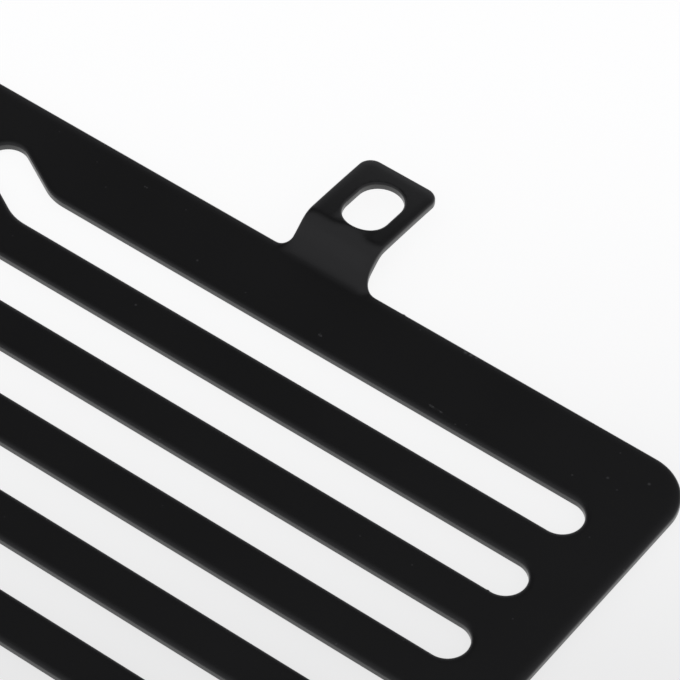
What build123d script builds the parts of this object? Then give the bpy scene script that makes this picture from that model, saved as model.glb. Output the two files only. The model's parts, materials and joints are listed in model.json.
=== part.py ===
"""Motorcycle radiator guard: one slotted sheet with four folded fixing tabs.

The guard lies on its back. X runs along the slots, Y across them towards the top edge and Z
out of the front face. The origin is on the back face, in the middle of the guard.
Lengths are in millimetres and angles in degrees.
"""

import os
from math import cos, radians, sin, tan

from build123d import *

# Sheet
thickness = 1.5
plate_width = 340.0
corner_radius = 8.7
edge_break = 0.2

# Slots
slot_count = 10
slot_pitch = 15.0
slot_width = 7.3
edge_band = 14.6
side_margin = 10.35
centre_rib = 15.0

# Kicked inner end of each top slot: the bend's distance from the middle of the guard, and the
# slot's middle line from there to the centre of its round end
kick_start = 50.8
kick_length = 11.1
kick_angle = 28.5
kick_bend_radius = 9.0

# Fixing tabs: lengths along Y are from the edge of the plate, and the rise is from the middle of
# the plate's sheet to the middle of the tab's, where the ramp and the drooping tab meet
tab_spacing = 192.3
tab_width = 14.8
tab_reach = 22.1
tab_corner_radius = 2.5
tab_inner_root_radius = 2.2
tab_outer_root_radius = 3.3
tab_rise = 4.1
ramp_angle = 42.0
droop_angle = 4.2
fold_start = 0.1
fold_radius = 2.0

# Slotted hole in each tab, set outwards a little from the tab's middle
hole_offset = 0.5
hole_reach = 12.8
hole_width = 8.1
hole_length = 11.5

# Sizes that follow from the ones above
plate_height = 2 * edge_band + (slot_count - 1) * slot_pitch + slot_width
plate_side = plate_width / 2
plate_edge = plate_height / 2
top_slot_y = plate_edge - edge_band - slot_width / 2
slot_outer_end = plate_side - side_margin
slot_inner_end = centre_rib / 2
slot_length = slot_outer_end - slot_inner_end
slot_end_radius = slot_width / 2
tab_inner_side = (tab_spacing - tab_width) / 2
tab_outer_side = (tab_spacing + tab_width) / 2
tab_end = plate_edge + tab_reach
hole_spacing = tab_spacing + 2 * hole_offset
middle = thickness / 2
fold_middle_radius = fold_radius + middle
clear_height = 2 * (thickness + tab_rise)

# A face whose normal rises by less than this is an upright wall
upright_limit = 1e-6


def folded_section():
    """Middle line of the sheet from the top tab to the bottom tab, as (y, z) points.

    It runs a little past the ends of the tabs, which the outline trims.
    """
    ramp_slope = tan(radians(ramp_angle))
    ramp_foot = plate_edge + fold_start + fold_middle_radius * tan(radians(ramp_angle) / 2)
    ramp_head = ramp_foot + tab_rise / ramp_slope
    past_end = tab_end + thickness
    head_z = middle + tab_rise
    end_z = head_z - (past_end - ramp_head) * tan(radians(droop_angle))
    top = [(past_end, end_z), (ramp_head, head_z), (ramp_foot, middle)]
    bottom = [(-y, z) for y, z in reversed(top)]
    return top + bottom


def mirrored_corners(sketch, x, y):
    """The sketch's corner at (x, y) and its three mirror images."""
    places = [(x, y), (-x, y), (x, -y), (-x, -y)]
    return [sketch.vertices().sort_by_distance(place)[0] for place in places]


# The right-hand top slot, whose inner end kicks up towards the top edge
turn = radians(kick_angle)
bend = Vector(kick_start, top_slot_y)
outer_centre = Vector(slot_outer_end - slot_end_radius, top_slot_y)
kicked_centre = bend + Vector(-cos(turn), sin(turn)) * kick_length
side = Vector(0, slot_end_radius)
kicked_side = Vector(sin(turn), cos(turn)) * slot_end_radius
mitre = Vector(slot_end_radius * tan(turn / 2), slot_end_radius)
with BuildSketch() as top_slot:
    with BuildLine():
        Polyline(
            outer_centre + side,
            bend + mitre,
            kicked_centre + kicked_side,
            kicked_centre - kicked_side,
            bend - mitre,
            outer_centre - side,
            close=True,
        )
    make_face()
    fillet(top_slot.vertices().sort_by_distance(bend)[:2], radius=kick_bend_radius)
    with Locations(outer_centre, kicked_centre):
        Circle(slot_end_radius)

# The outline of the sheet seen from the front, with its slots and holes
with BuildSketch() as outline:
    Rectangle(plate_width, plate_height)
    with GridLocations(tab_spacing, plate_height + tab_reach, 2, 2):
        Rectangle(tab_width, tab_reach)
    fillet(mirrored_corners(outline, plate_side, plate_edge), radius=corner_radius)
    fillet(mirrored_corners(outline, tab_inner_side, plate_edge), radius=tab_inner_root_radius)
    fillet(mirrored_corners(outline, tab_outer_side, plate_edge), radius=tab_outer_root_radius)
    for tab_side in (tab_inner_side, tab_outer_side):
        fillet(mirrored_corners(outline, tab_side, tab_end), radius=tab_corner_radius)
    add(top_slot.sketch, mode=Mode.SUBTRACT)
    mirror(top_slot.sketch, about=Plane.YZ, mode=Mode.SUBTRACT)
    with Locations((0, -slot_pitch / 2)):
        with GridLocations(slot_length + centre_rib, slot_pitch, 2, slot_count - 1):
            SlotOverall(slot_length, slot_width, mode=Mode.SUBTRACT)
    with GridLocations(hole_spacing, plate_height + 2 * hole_reach, 2, 2):
        SlotOverall(hole_length, hole_width, rotation=90, mode=Mode.SUBTRACT)

# The sheet: its folded section across the whole width, cut to the outline, with its rims eased
with BuildPart() as guard_plate:
    with BuildSketch(Plane.YZ):
        with BuildLine():
            FilletPolyline(*folded_section(), radius=fold_middle_radius)
        trace(line_width=thickness)
    extrude(amount=plate_side, both=True)
    extrude(outline.sketch, amount=clear_height, mode=Mode.INTERSECT)
    walls = guard_plate.faces().filter_by(lambda face: abs(face.normal_at().Z) < upright_limit)
    rims = walls.edges().filter_by(Axis.Z, reverse=True)
    chamfer(rims, length=edge_break)

os.makedirs("parts", exist_ok=True)
guard_plate.part.label = "guard_plate"
export_step(guard_plate.part, "parts/guard_plate.step")
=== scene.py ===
"""Looks of the motorcycle radiator guard: a powder-coated sheet with finely rounded edges.

X runs along the slots, Y across them towards the top edge and Z out of the front face.
Lengths are in metres.
"""

import json
from math import atan, atan2, ceil, copysign, cos, pi, radians, sin, tan
from typing import NamedTuple

import bmesh
import bpy
from mathutils import Matrix, Vector


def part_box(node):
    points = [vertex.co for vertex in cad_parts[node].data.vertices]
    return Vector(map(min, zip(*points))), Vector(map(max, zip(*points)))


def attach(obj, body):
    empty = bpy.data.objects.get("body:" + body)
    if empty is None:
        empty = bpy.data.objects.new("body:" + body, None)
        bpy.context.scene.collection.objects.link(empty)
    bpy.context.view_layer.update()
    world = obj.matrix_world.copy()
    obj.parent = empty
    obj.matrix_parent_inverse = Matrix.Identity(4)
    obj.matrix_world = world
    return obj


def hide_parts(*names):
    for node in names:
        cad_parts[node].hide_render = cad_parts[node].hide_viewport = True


MM = 0.001

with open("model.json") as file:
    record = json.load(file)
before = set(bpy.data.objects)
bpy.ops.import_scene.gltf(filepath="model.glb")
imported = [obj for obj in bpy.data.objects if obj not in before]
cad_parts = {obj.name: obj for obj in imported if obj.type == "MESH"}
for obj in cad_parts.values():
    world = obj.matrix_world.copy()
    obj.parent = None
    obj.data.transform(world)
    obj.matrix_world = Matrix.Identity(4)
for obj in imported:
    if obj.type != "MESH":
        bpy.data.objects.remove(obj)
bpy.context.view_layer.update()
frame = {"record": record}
frame_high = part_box("guard_plate")[1]
tab_holes = next(mount for mount in frame["record"]["mounts"] if mount["name"] == "right_tab_slots")


class Edge(NamedTuple):
    """Cut edge of the sheet: its rounding at the front, and the front face's roll towards it."""

    front_radius: float
    roll_width: float
    roll_slope: float


# Sheet, with its outer sizes from the frame
PLATE_SIDE = frame_high.x
TAB_END = frame_high.y
THICKNESS = 1.5 * MM
CORNER_RADIUS = 8.7 * MM

# Edges of the sheet. A roll's slope is the one where it meets the rounding.
BACK_RIM_RADIUS = 0.25 * MM
OUTLINE_EDGE = Edge(front_radius=0.42 * MM, roll_width=1.8 * MM, roll_slope=0.13)
SLOT_EDGE = Edge(front_radius=0.42 * MM, roll_width=1.0 * MM, roll_slope=0.2)
HOLE_EDGE = Edge(front_radius=0.42 * MM, roll_width=0.0, roll_slope=0.0)

# Slots, and the kicked inner end of each top one
SLOT_COUNT = 10
SLOT_PITCH = 15.0 * MM
SLOT_WIDTH = 7.3 * MM
EDGE_BAND = 14.6 * MM
SIDE_MARGIN = 10.35 * MM
CENTRE_RIB = 15.0 * MM
KICK_START = 50.8 * MM
KICK_LENGTH = 11.1 * MM
KICK_ANGLE = radians(28.5)
KICK_BEND_RADIUS = 9.0 * MM

# Fixing tabs: each goes up a ramp, and then droops and bows a little
TAB_MIDDLE = 96.15 * MM
TAB_WIDTH = 14.8 * MM
TAB_REACH = 22.1 * MM
TAB_CORNER_RADIUS = 2.5 * MM
TAB_INNER_ROOT_RADIUS = 1.8 * MM
TAB_OUTER_ROOT_RADIUS = 3.3 * MM
TAB_RISE = 4.1 * MM
RAMP_ANGLE = radians(42.0)
DROOP_ANGLE = radians(2.8)
DROOP_BOW_RADIUS = 330.0 * MM

# Slotted holes of the tabs, from the frame's mount at the right-hand ones
HOLE_MIDDLE = tab_holes["pos_m"][0]
HOLE_SPACING = tab_holes["dims"]["spacing_y_mm"] * MM
HOLE_WIDTH = 2 * tab_holes["dims"]["hole_r_mm"] * MM
HOLE_LENGTH = tab_holes["dims"]["slot_length_mm"] * MM

# Folds of the tabs: the lower one starts a little inside the plate and fades out past the tab's sides
FOLD_START = -2.0 * MM
LOWER_FOLD_RADIUS = 6.6 * MM
UPPER_FOLD_RADIUS = 2.4 * MM
FOLD_FADE = 2.4 * MM

# Lip at the near end of each tab's hole, which the upper fold leaves partly unbent: its distance from
# the plate's edge, and its slope up from the folded tab
LIP_START = 5.3 * MM
LIP_SLOPE = 0.22

# Burrs where the cutting beam came in: one on the top edge, and one on the lower edge of a right-hand
# slot, counted from the top one as nought, so far from its outer end
BURR_HEIGHT = 0.09 * MM
BURR_WIDTH = 0.8 * MM
TOP_BURR_X = 112.5 * MM
BURRED_SLOT = 1
SLOT_BURR = 4.1 * MM

# Beads of spatter under the coat: x, y, half length and half width
BEAD_HEIGHT = 0.11 * MM
BEADS = [
    (104.6 * MM, 73.85 * MM, 0.45 * MM, 0.25 * MM),
    (127.3 * MM, 72.78 * MM, 0.65 * MM, 0.22 * MM),
    (129.2 * MM, 72.72 * MM, 0.3 * MM, 0.18 * MM),
]

# Specks of dust and scuffs on the front face: x, y and radius
SPECKS = [
    (132.4 * MM, 72.1 * MM, 0.2 * MM),
    (152.8 * MM, 74.9 * MM, 0.25 * MM),
    (157.5 * MM, 77.8 * MM, 0.35 * MM),
    (163.3 * MM, 80.7 * MM, 0.4 * MM),
    (156.2 * MM, 83.1 * MM, 0.2 * MM),
    (160.0 * MM, 76.7 * MM, 0.22 * MM),
    (125.0 * MM, 85.1 * MM, 0.5 * MM),
    (126.0 * MM, 85.2 * MM, 0.5 * MM),
    (127.0 * MM, 85.3 * MM, 0.4 * MM),
    (62.6 * MM, 82.0 * MM, 0.25 * MM),
    (63.0 * MM, 82.0 * MM, 0.25 * MM),
    (57.6 * MM, 78.0 * MM, 0.2 * MM),
    (79.3 * MM, 74.5 * MM, 0.3 * MM),
    (77.4 * MM, 61.0 * MM, 0.3 * MM),
]

# Coat
COAT_COLOUR = (0.003, 0.003, 0.003, 1)
COAT_SPECULAR = 0.9
ROUGHNESS_RANGE = (0.275, 0.315)
CLOUD_SIZE = 25.0 * MM
GRAIN_SIZE = 0.5 * MM
GRAIN_HEIGHT = 0.006 * MM
DUST_COLOUR = (0.09, 0.09, 0.09, 1)
DUST_SPACING = 9.0 * MM
DUST_RADIUS = 0.2 * MM
DUST_SHARE = 0.4

# Floor, just under the guard. Its glow rises along the level way from the camera, over a stretch with
# a glow for its start, middle and end.
FLOOR_SIZE = 6.0
FLOOR_GAP = 0.05 * MM
FLOOR_COLOUR = (0.3, 0.3, 0.3, 1)
GLOW_COLOUR = (1, 1, 1, 1)
BACKWARDS = (-0.51, 0.86, 0)
GLOW_STRETCH = (-80.0 * MM, 80.0 * MM)
GLOW_LEVELS = (0.65, 0.87, 0.9)

# Studio light, by the way that it comes from. A way's height is nought at the horizon and one overhead.
# The backdrop stands on the dark side, and the room is all the rest.
LIGHT_COLOUR = (0.985, 0.985, 1.03, 1)
DARK_SIDE = (-0.75, 0.66, 0)
DARK_SIDE_EDGE = (0.35, 0.64)
BACKDROP_LEVEL = 0.4
BACKDROP_EDGE = (0.67, 0.54)
ROOM_HEIGHTS = (-0.1, 1.1)
ROOM_LEVELS = (0.78, 0.25, 0.35)

# Camera, with its sensor and lens in millimetres
CAMERA_PLACE = Vector((0.392556, -0.318475, 0.564681))
CAMERA_TARGET = Vector((0.107675, 0.074999, 0.0015))
CAMERA_ROLL = radians(1.3252)
CAMERA_SENSOR = 36
CAMERA_LENS = 247.9435

# Fineness of the mesh, and how much its larger faces count in the shading at their corners
ARC_STEP = radians(5)
RIM_STEPS = 5
ROLL_STEPS = 8
FOLD_STEPS = 10
TAB_STEPS = 30
FADE_STEPS = 6
LIP_STEPS = 12
BURR_STEPS = 3
BEAD_RINGS = 5
BEAD_SIDES = 16
SAME_POINT = 1e-4 * MM
LARGE_FACE_WEIGHT = 100

# Sizes that follow from the ones above
PLATE_EDGE = TAB_END - TAB_REACH
TOP_SLOT_Y = PLATE_EDGE - EDGE_BAND - SLOT_WIDTH / 2
SLOT_END_RADIUS = SLOT_WIDTH / 2
SLOT_OUTER_END = PLATE_SIDE - SIDE_MARGIN
TAB_INNER_SIDE = TAB_MIDDLE - TAB_WIDTH / 2
TAB_OUTER_SIDE = TAB_MIDDLE + TAB_WIDTH / 2
HOLE_REACH = HOLE_SPACING / 2 - PLATE_EDGE
LOWER_MIDDLE_RADIUS = LOWER_FOLD_RADIUS + THICKNESS / 2
UPPER_MIDDLE_RADIUS = UPPER_FOLD_RADIUS + THICKNESS / 2


def rounded_loop(corners):
    """Closed loop of (point, outward normal) pairs round a polygon whose corners are rounded.

    Each corner is (x, y, radius). The sheet lies on the left of the way round.
    """
    loop = []
    before = corners[-1:] + corners[:-1]
    after = corners[1:] + corners[:1]
    for previous, here, following in zip(before, corners, after):
        corner = Vector(here[:2])
        radius = here[2]
        way_in = (corner - Vector(previous[:2])).normalized()
        way_out = (Vector(following[:2]) - corner).normalized()
        turn = atan2(way_in.cross(way_out), way_in.dot(way_out))
        start = corner - way_in * radius * tan(abs(turn) / 2)
        right = Vector((way_in.y, -way_in.x))
        reach = copysign(radius, turn)
        centre = start - right * reach
        steps = ceil(abs(turn) / ARC_STEP)
        for step in range(steps + 1):
            normal = Matrix.Rotation(turn * step / steps, 2) @ right
            point = centre + normal * reach
            if not loop or (point - loop[-1][0]).length > SAME_POINT:
                loop.append((point, normal))
    if (loop[0][0] - loop[-1][0]).length < SAME_POINT:
        loop.pop()
    return loop


def mirrored(corners):
    """The corners' mirror image across the middle of the guard, the same way round."""
    return [(-x, y, radius) for x, y, radius in reversed(corners)]


def stretch_at(loop, place):
    """Index, way and normal of the loop's straight stretch that has room for a burr at the place."""
    for index, (start, normal) in enumerate(loop):
        end = loop[(index + 1) % len(loop)][0]
        way = (end - start).normalized()
        room = min((place - start).dot(way), (end - place).dot(way))
        if room > BURR_WIDTH / 2 and abs((place - start).dot(normal)) < BURR_HEIGHT:
            return index, way, normal
    raise ValueError("no straight stretch of the loop has room for a burr there")


def with_burr(loop, place):
    """The loop with a small burr at a place on one of its straight stretches."""
    index, way, normal = stretch_at(loop, place)
    burr = []
    for step in range(-BURR_STEPS, BURR_STEPS + 1):
        share = step / BURR_STEPS
        height = BURR_HEIGHT * cos(pi / 2 * share) ** 2
        burr.append((place + way * BURR_WIDTH / 2 * share + normal * height, normal))
    return loop[: index + 1] + burr + loop[index + 1 :]


def plate_loop():
    """The outer outline: the plate with its four tabs."""
    top_right = [
        (PLATE_SIDE, PLATE_EDGE, CORNER_RADIUS),
        (TAB_OUTER_SIDE, PLATE_EDGE, TAB_OUTER_ROOT_RADIUS),
        (TAB_OUTER_SIDE, TAB_END, TAB_CORNER_RADIUS),
        (TAB_INNER_SIDE, TAB_END, TAB_CORNER_RADIUS),
        (TAB_INNER_SIDE, PLATE_EDGE, TAB_INNER_ROOT_RADIUS),
    ]
    top = top_right + mirrored(top_right)
    bottom = [(-x, -y, radius) for x, y, radius in top]
    return with_burr(rounded_loop(top + bottom), Vector((TOP_BURR_X, PLATE_EDGE)))


def slot_corners(left, right, low, high, radius):
    """Corners of an upright or level slot, with the sheet outside it."""
    return [(left, low, radius), (left, high, radius), (right, high, radius), (right, low, radius)]


def kicked_slot_corners():
    """Corners of the right-hand top slot, whose inner end kicks up towards the top edge."""
    bend = Vector((KICK_START, TOP_SLOT_Y))
    kick = Vector((-cos(KICK_ANGLE), sin(KICK_ANGLE)))
    across = Vector((sin(KICK_ANGLE), cos(KICK_ANGLE))) * SLOT_END_RADIUS
    mitre = Vector((SLOT_END_RADIUS * tan(KICK_ANGLE / 2), SLOT_END_RADIUS))
    end = bend + kick * (KICK_LENGTH + SLOT_END_RADIUS)
    low = TOP_SLOT_Y - SLOT_END_RADIUS
    high = TOP_SLOT_Y + SLOT_END_RADIUS
    return [
        (SLOT_OUTER_END, low, SLOT_END_RADIUS),
        (*(bend - mitre), KICK_BEND_RADIUS),
        (*(end - across), SLOT_END_RADIUS),
        (*(end + across), SLOT_END_RADIUS),
        (*(bend + mitre), KICK_BEND_RADIUS),
        (SLOT_OUTER_END, high, SLOT_END_RADIUS),
    ]


def slot_loops():
    """The slots of the plate."""
    right_side = [kicked_slot_corners()]
    for row in range(1, SLOT_COUNT):
        middle = TOP_SLOT_Y - row * SLOT_PITCH
        low, high = middle - SLOT_END_RADIUS, middle + SLOT_END_RADIUS
        right_side.append(slot_corners(CENTRE_RIB / 2, SLOT_OUTER_END, low, high, SLOT_END_RADIUS))
    right_loops = [rounded_loop(corners) for corners in right_side]
    left_loops = [rounded_loop(mirrored(corners)) for corners in right_side]
    burr_y = TOP_SLOT_Y - BURRED_SLOT * SLOT_PITCH - SLOT_END_RADIUS
    burr_place = Vector((SLOT_OUTER_END - SLOT_BURR, burr_y))
    right_loops[BURRED_SLOT] = with_burr(right_loops[BURRED_SLOT], burr_place)
    return right_loops + left_loops


def hole_loops():
    """The slotted holes of the tabs."""
    left, right = HOLE_MIDDLE - HOLE_WIDTH / 2, HOLE_MIDDLE + HOLE_WIDTH / 2
    loops = []
    for end in (1, -1):
        middle = end * HOLE_SPACING / 2
        low, high = middle - HOLE_LENGTH / 2, middle + HOLE_LENGTH / 2
        corners = slot_corners(left, right, low, high, HOLE_WIDTH / 2)
        loops += [rounded_loop(corners), rounded_loop(mirrored(corners))]
    return loops


def rim_profile(edge):
    """Inset and height of each ring round a cut edge, from the back face to the front.

    The front face rolls down towards the cut, ever more steeply, and then turns into the wall.
    """
    back = []
    for step in range(RIM_STEPS + 1):
        angle = pi / 2 * step / RIM_STEPS
        back.append((BACK_RIM_RADIUS * (1 - sin(angle)), BACK_RIM_RADIUS * (1 - cos(angle))))
    last_angle = pi / 2 - atan(edge.roll_slope)
    roll_drop = edge.roll_slope * edge.roll_width / 3
    wall_top = THICKNESS - roll_drop - edge.front_radius * sin(last_angle)
    front = []
    for step in range(RIM_STEPS + 1):
        angle = last_angle * step / RIM_STEPS
        front.append((edge.front_radius * (1 - cos(angle)), wall_top + edge.front_radius * sin(angle)))
    roll_start = front[-1][0]
    roll_steps = ROLL_STEPS if edge.roll_width else 0
    for step in range(1, roll_steps + 1):
        share = step / roll_steps
        front.append((roll_start + edge.roll_width * share, THICKNESS - roll_drop * (1 - share) ** 3))
    return back + front


def ring_edges(bm, ring):
    """The mesh edges round a ring of vertices."""
    return [bm.edges.get((ring[i - 1], ring[i])) for i in range(len(ring))]


def add_edge(bm, loop, profile):
    """The rounded edge along one loop. Returns its border on the back face and on the front face."""
    rings = []
    for inset, height in profile:
        ring = []
        for point, normal in loop:
            x, y = point - normal * inset
            ring.append(bm.verts.new((x, y, height)))
        rings.append(ring)
    for lower, upper in zip(rings, rings[1:]):
        for i in range(len(loop)):
            bm.faces.new((lower[i - 1], lower[i], upper[i], upper[i - 1]))
    return ring_edges(bm, rings[0]), ring_edges(bm, rings[-1])


def add_bead(bm, x, y, half_length, half_width):
    """A bead of spatter on the front face. Returns its border."""
    rings = []
    for step in range(BEAD_RINGS):
        share = 1 - step / BEAD_RINGS
        height = THICKNESS + BEAD_HEIGHT * (1 - share**2) ** 2
        ring = []
        for side in range(BEAD_SIDES):
            angle = 2 * pi * side / BEAD_SIDES
            place = (x + half_length * share * cos(angle), y + half_width * share * sin(angle), height)
            ring.append(bm.verts.new(place))
        rings.append(ring)
    for outer, inner in zip(rings, rings[1:]):
        for i in range(BEAD_SIDES):
            bm.faces.new((outer[i - 1], outer[i], inner[i], inner[i - 1]))
    peak = bm.verts.new((x, y, THICKNESS + BEAD_HEIGHT))
    for i in range(BEAD_SIDES):
        bm.faces.new((rings[-1][i - 1], rings[-1][i], peak))
    return ring_edges(bm, rings[0])


class FoldedSection:
    """Height of the sheet's back and front faces along a tab, by distance from the plate's edge."""

    def __init__(self):
        self.lower_centre = Vector((FOLD_START, THICKNESS / 2 + LOWER_MIDDLE_RADIUS))
        foot = FOLD_START + LOWER_MIDDLE_RADIUS * tan(RAMP_ANGLE / 2)
        head = Vector((foot + TAB_RISE / tan(RAMP_ANGLE), THICKNESS / 2 + TAB_RISE))
        run_in = UPPER_MIDDLE_RADIUS * tan((RAMP_ANGLE + DROOP_ANGLE) / 2)
        ramp = Vector((cos(RAMP_ANGLE), sin(RAMP_ANGLE)))
        across = Vector((sin(RAMP_ANGLE), -cos(RAMP_ANGLE)))
        self.upper_centre = head - ramp * run_in + across * UPPER_MIDDLE_RADIUS

    def face(self, distance, offset):
        """Height of the face that lies offset above the sheet's middle."""
        lower = LOWER_MIDDLE_RADIUS - offset
        upper = UPPER_MIDDLE_RADIUS + offset
        lower_end = self.lower_centre.x + lower * sin(RAMP_ANGLE)
        upper_start = self.upper_centre.x - upper * sin(RAMP_ANGLE)
        upper_end = self.upper_centre.x + upper * sin(DROOP_ANGLE)
        if distance <= self.lower_centre.x:
            return self.lower_centre.y - lower
        if distance <= lower_end:
            rise = (lower**2 - (distance - self.lower_centre.x) ** 2) ** 0.5
            return self.lower_centre.y - rise
        if distance <= upper_start:
            foot = self.lower_centre.y - lower * cos(RAMP_ANGLE)
            return foot + (distance - lower_end) * tan(RAMP_ANGLE)
        if distance <= upper_end:
            rise = (upper**2 - (distance - self.upper_centre.x) ** 2) ** 0.5
            return self.upper_centre.y + rise
        head = self.upper_centre.y + upper * cos(DROOP_ANGLE)
        past = distance - upper_end
        return head - past * tan(DROOP_ANGLE) - past**2 / (2 * DROOP_BOW_RADIUS)

    def rows(self):
        """Distances at which the sheet is divided so that the folds and the tab come out round."""
        lower = LOWER_MIDDLE_RADIUS + THICKNESS / 2
        upper = UPPER_MIDDLE_RADIUS + THICKNESS / 2
        lower_start = self.lower_centre.x
        lower_end = lower_start + lower * sin(RAMP_ANGLE)
        upper_start = self.upper_centre.x - upper * sin(RAMP_ANGLE)
        upper_end = self.upper_centre.x + upper * sin(DROOP_ANGLE)
        stretches = [
            (lower_start, lower_end, FOLD_STEPS),
            (upper_start, upper_end, FOLD_STEPS),
            (upper_end, TAB_REACH, TAB_STEPS),
        ]
        distances = []
        for start, end, steps in stretches:
            distances += [start + (end - start) * step / steps for step in range(steps)]
        return distances


def columns():
    """Distances from the middle of the guard at which the sheet is divided near the tabs."""
    distances = []
    for step in range(FADE_STEPS + 1):
        past = FOLD_FADE * step / FADE_STEPS
        distances += [TAB_INNER_SIDE - past, TAB_OUTER_SIDE + past]
    for step in range(LIP_STEPS + 1):
        distances.append(HOLE_MIDDLE + HOLE_WIDTH * (step / LIP_STEPS - 0.5))
    return distances


def divide(bm, place, way):
    """Divides the faces near the tabs where a plane meets them, in the same order on every run."""
    fold_line = PLATE_EDGE + FOLD_START
    faces = [face for face in bm.faces if max(abs(vert.co.y) for vert in face.verts) > fold_line]
    edges = dict.fromkeys(edge for face in faces for edge in face.edges)
    verts = dict.fromkeys(vert for face in faces for vert in face.verts)
    geometry = [*verts, *edges, *faces]
    bmesh.ops.bisect_plane(bm, geom=geometry, dist=SAME_POINT, plane_co=place, plane_no=way)


def fold_share(x):
    """Share of the fold that the sheet takes part in: all of it across a tab, less past its sides."""
    past = abs(abs(x) - TAB_MIDDLE) - TAB_WIDTH / 2
    share = min(max(1 - past / FOLD_FADE, 0), 1)
    return share**2 * (3 - 2 * share)


def lip_height(x, distance):
    """How far the lip at a hole's near end stands up from the folded section."""
    aside = abs(abs(x) - HOLE_MIDDLE) / (HOLE_WIDTH / 2)
    if aside >= 1 or not LIP_START < distance < HOLE_REACH:
        return 0
    return LIP_SLOPE * (distance - LIP_START) * cos(pi / 2 * aside) ** 2


def fold_tabs(bm):
    """Lifts the tabs out of the flat sheet along their folded section."""
    section = FoldedSection()
    for distance in section.rows():
        for end in (1, -1):
            divide(bm, (0, end * (PLATE_EDGE + distance), 0), (0, 1, 0))
    for x in columns():
        for side in (1, -1):
            divide(bm, (side * x, 0, 0), (1, 0, 0))
    for vert in bm.verts:
        distance = abs(vert.co.y) - PLATE_EDGE
        back = section.face(distance, -THICKNESS / 2)
        front = section.face(distance, THICKNESS / 2)
        folded = back + (front - back) * vert.co.z / THICKNESS
        vert.co.z += fold_share(vert.co.x) * (folded - vert.co.z) + lip_height(vert.co.x, distance)


def guard_mesh():
    """The whole guard as one closed mesh."""
    bm = bmesh.new()
    back_borders = []
    front_borders = []
    kinds = [([plate_loop()], OUTLINE_EDGE), (slot_loops(), SLOT_EDGE), (hole_loops(), HOLE_EDGE)]
    for loops, edge in kinds:
        for loop in loops:
            back, front = add_edge(bm, loop, rim_profile(edge))
            back_borders += back
            front_borders += front
    for bead in BEADS:
        front_borders += add_bead(bm, *bead)
    for borders in (back_borders, front_borders):
        bmesh.ops.triangle_fill(bm, use_beauty=True, edges=borders)
    fold_tabs(bm)
    bmesh.ops.recalc_face_normals(bm, faces=bm.faces)
    for face in bm.faces:
        face.smooth = True
    mesh = bpy.data.meshes.new("guard_sheet")
    bm.to_mesh(mesh)
    bm.free()
    return mesh


def make_guard():
    """The guard, with its shading kept flat on the flat faces and smooth round the edges."""
    guard = bpy.data.objects.new("guard_sheet", guard_mesh())
    bpy.context.scene.collection.objects.link(guard)
    bpy.context.view_layer.objects.active = guard
    weighted = guard.modifiers.new("weighted_normals", "WEIGHTED_NORMAL")
    weighted.weight = LARGE_FACE_WEIGHT
    bpy.ops.object.modifier_apply(modifier=weighted.name)
    return guard


def fade(tree, value, start, end, top=1.0):
    """Smooth step from nought up to the top, as the value goes from start to end."""
    step = tree.nodes.new("ShaderNodeMapRange")
    step.interpolation_type = "SMOOTHSTEP"
    step.inputs["From Min"].default_value = start
    step.inputs["From Max"].default_value = end
    step.inputs["To Max"].default_value = top
    tree.links.new(value, step.inputs["Value"])
    return step.outputs["Result"]


def graded(tree, value, start, end, levels):
    """Smooth curve near the three levels, as the value goes from start to end."""
    share = tree.nodes.new("ShaderNodeMapRange")
    share.inputs["From Min"].default_value = start
    share.inputs["From Max"].default_value = end
    tree.links.new(value, share.inputs["Value"])
    curve = tree.nodes.new("ShaderNodeValToRGB")
    curve.color_ramp.interpolation = "B_SPLINE"
    curve.color_ramp.elements.new(0.5)
    for element, level in zip(curve.color_ramp.elements, levels):
        element.color = (level, level, level, 1)
    tree.links.new(share.outputs["Result"], curve.inputs["Fac"])
    return curve.outputs["Color"]


def combine(tree, operation, first, second):
    """Two values put together by a Math node."""
    node = tree.nodes.new("ShaderNodeMath")
    node.operation = operation
    tree.links.new(first, node.inputs[0])
    tree.links.new(second, node.inputs[1])
    return node.outputs["Value"]


def along(tree, place, way):
    """How far a place lies along a way from the origin."""
    node = tree.nodes.new("ShaderNodeVectorMath")
    node.operation = "DOT_PRODUCT"
    node.inputs[1].default_value = way
    tree.links.new(place, node.inputs[0])
    return node.outputs["Value"]


def noise(tree, place, size):
    """Noise whose lumps are about this size."""
    node = tree.nodes.new("ShaderNodeTexNoise")
    node.inputs["Scale"].default_value = 1 / size
    tree.links.new(place, node.inputs["Vector"])
    return node.outputs["Fac"]


def speck(tree, place, x, y, radius):
    """Cover of one speck on the front face."""
    distance = tree.nodes.new("ShaderNodeVectorMath")
    distance.operation = "DISTANCE"
    distance.inputs[1].default_value = (x, y, THICKNESS)
    tree.links.new(place, distance.inputs[0])
    return fade(tree, distance.outputs["Value"], radius, 0)


def dust(tree, place):
    """Cover of the fine dust, one grain here and there."""
    cells = tree.nodes.new("ShaderNodeTexVoronoi")
    cells.voronoi_dimensions = "2D"
    cells.inputs["Scale"].default_value = 1 / DUST_SPACING
    tree.links.new(place, cells.inputs["Vector"])
    grain = fade(tree, cells.outputs["Distance"], DUST_RADIUS / DUST_SPACING, 0)
    lot = tree.nodes.new("ShaderNodeSeparateColor")
    tree.links.new(cells.outputs["Color"], lot.inputs["Color"])
    return combine(tree, "MULTIPLY", grain, fade(tree, lot.outputs["Red"], 1 - DUST_SHARE, 1))


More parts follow.
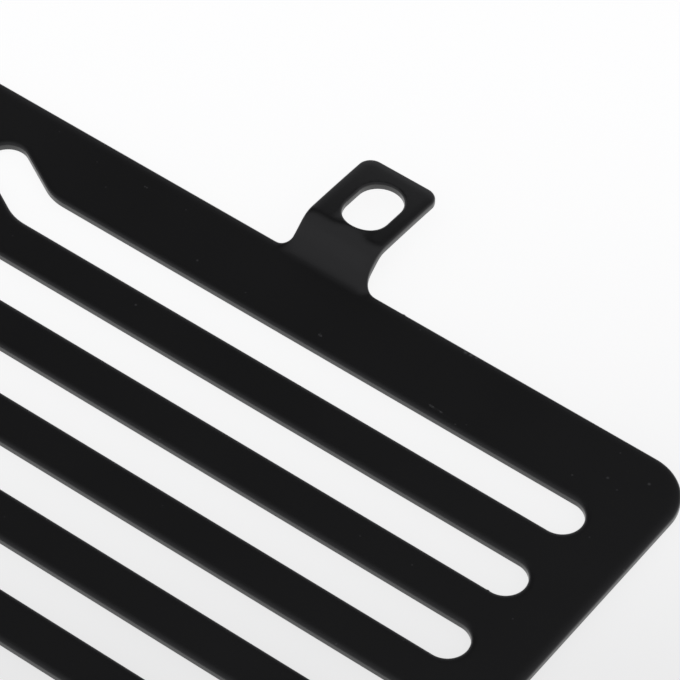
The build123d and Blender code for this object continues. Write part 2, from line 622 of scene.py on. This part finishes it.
def powder_coat():
    """Satin black powder coat with a fine grain, a little dust and a few scuffs."""
    material = bpy.data.materials.new("black_powder_coat")
    material.use_nodes = True
    tree = material.node_tree
    shader = tree.nodes["Principled BSDF"]
    shader.inputs["Specular IOR Level"].default_value = COAT_SPECULAR
    place = tree.nodes.new("ShaderNodeTexCoord").outputs["Object"]

    cover = dust(tree, place)
    for spot in SPECKS:
        cover = combine(tree, "MAXIMUM", cover, speck(tree, place, *spot))
    tone = tree.nodes.new("ShaderNodeMix")
    tone.data_type = "RGBA"
    tone.inputs["A"].default_value = COAT_COLOUR
    tone.inputs["B"].default_value = DUST_COLOUR
    tree.links.new(cover, tone.inputs["Factor"])
    tree.links.new(tone.outputs["Result"], shader.inputs["Base Color"])

    sheen = tree.nodes.new("ShaderNodeMapRange")
    sheen.inputs["To Min"].default_value, sheen.inputs["To Max"].default_value = ROUGHNESS_RANGE
    tree.links.new(noise(tree, place, CLOUD_SIZE), sheen.inputs["Value"])
    tree.links.new(sheen.outputs["Result"], shader.inputs["Roughness"])

    bump = tree.nodes.new("ShaderNodeBump")
    bump.inputs["Distance"].default_value = GRAIN_HEIGHT
    tree.links.new(noise(tree, place, GRAIN_SIZE), bump.inputs["Height"])
    tree.links.new(bump.outputs["Normal"], shader.inputs["Normal"])
    return material


def floor_material():
    """Pale floor that glows softly, like a light table, and more so towards the back."""
    material = bpy.data.materials.new("pale_floor")
    material.use_nodes = True
    tree = material.node_tree
    shader = tree.nodes["Principled BSDF"]
    shader.inputs["Base Color"].default_value = FLOOR_COLOUR
    shader.inputs["Roughness"].default_value = 1.0
    shader.inputs["Specular IOR Level"].default_value = 0.0
    shader.inputs["Emission Color"].default_value = GLOW_COLOUR
    place = tree.nodes.new("ShaderNodeTexCoord").outputs["Object"]
    glow = graded(tree, along(tree, place, BACKWARDS), *GLOW_STRETCH, GLOW_LEVELS)
    tree.links.new(glow, shader.inputs["Emission Strength"])
    return material


def make_floor():
    """The surface that the guard lies on."""
    bpy.ops.mesh.primitive_plane_add(size=FLOOR_SIZE, location=(0, 0, -FLOOR_GAP))
    floor = bpy.context.object
    floor.name = "floor"
    floor.data.materials.append(floor_material())


def light_world():
    """Soft studio light: a low backdrop behind the guard, and a room brightest near the floor."""
    world = bpy.data.worlds.new("studio")
    bpy.context.scene.world = world
    world.use_nodes = True
    tree = world.node_tree
    way = tree.nodes.new("ShaderNodeTexCoord").outputs["Generated"]
    split = tree.nodes.new("ShaderNodeSeparateXYZ")
    tree.links.new(way, split.inputs["Vector"])
    height = split.outputs["Z"]
    depth = along(tree, way, DARK_SIDE)
    backdrop = fade(tree, height, *BACKDROP_EDGE, top=BACKDROP_LEVEL)
    room = graded(tree, height, *ROOM_HEIGHTS, ROOM_LEVELS)
    behind = combine(tree, "MULTIPLY", backdrop, fade(tree, depth, *DARK_SIDE_EDGE))
    front = combine(tree, "MULTIPLY", room, fade(tree, depth, *reversed(DARK_SIDE_EDGE)))
    background = tree.nodes["Background"]
    background.inputs["Color"].default_value = LIGHT_COLOUR
    tree.links.new(combine(tree, "ADD", behind, front), background.inputs["Strength"])


def make_camera():
    """The photograph's view."""
    data = bpy.data.cameras.new("camera")
    data.sensor_width = CAMERA_SENSOR
    data.lens = CAMERA_LENS
    camera = bpy.data.objects.new("camera", data)
    look = (CAMERA_TARGET - CAMERA_PLACE).to_track_quat("-Z", "Y").to_matrix()
    turn = look @ Matrix.Rotation(CAMERA_ROLL, 3, "Z")
    camera.matrix_world = Matrix.Translation(CAMERA_PLACE) @ turn.to_4x4()
    bpy.context.scene.collection.objects.link(camera)
    bpy.context.scene.camera = camera


guard = make_guard()
guard.data.materials.append(powder_coat())
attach(guard, "root")
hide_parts("guard_plate")
make_floor()
light_world()
make_camera()
bpy.context.scene.view_settings.view_transform = "Standard"
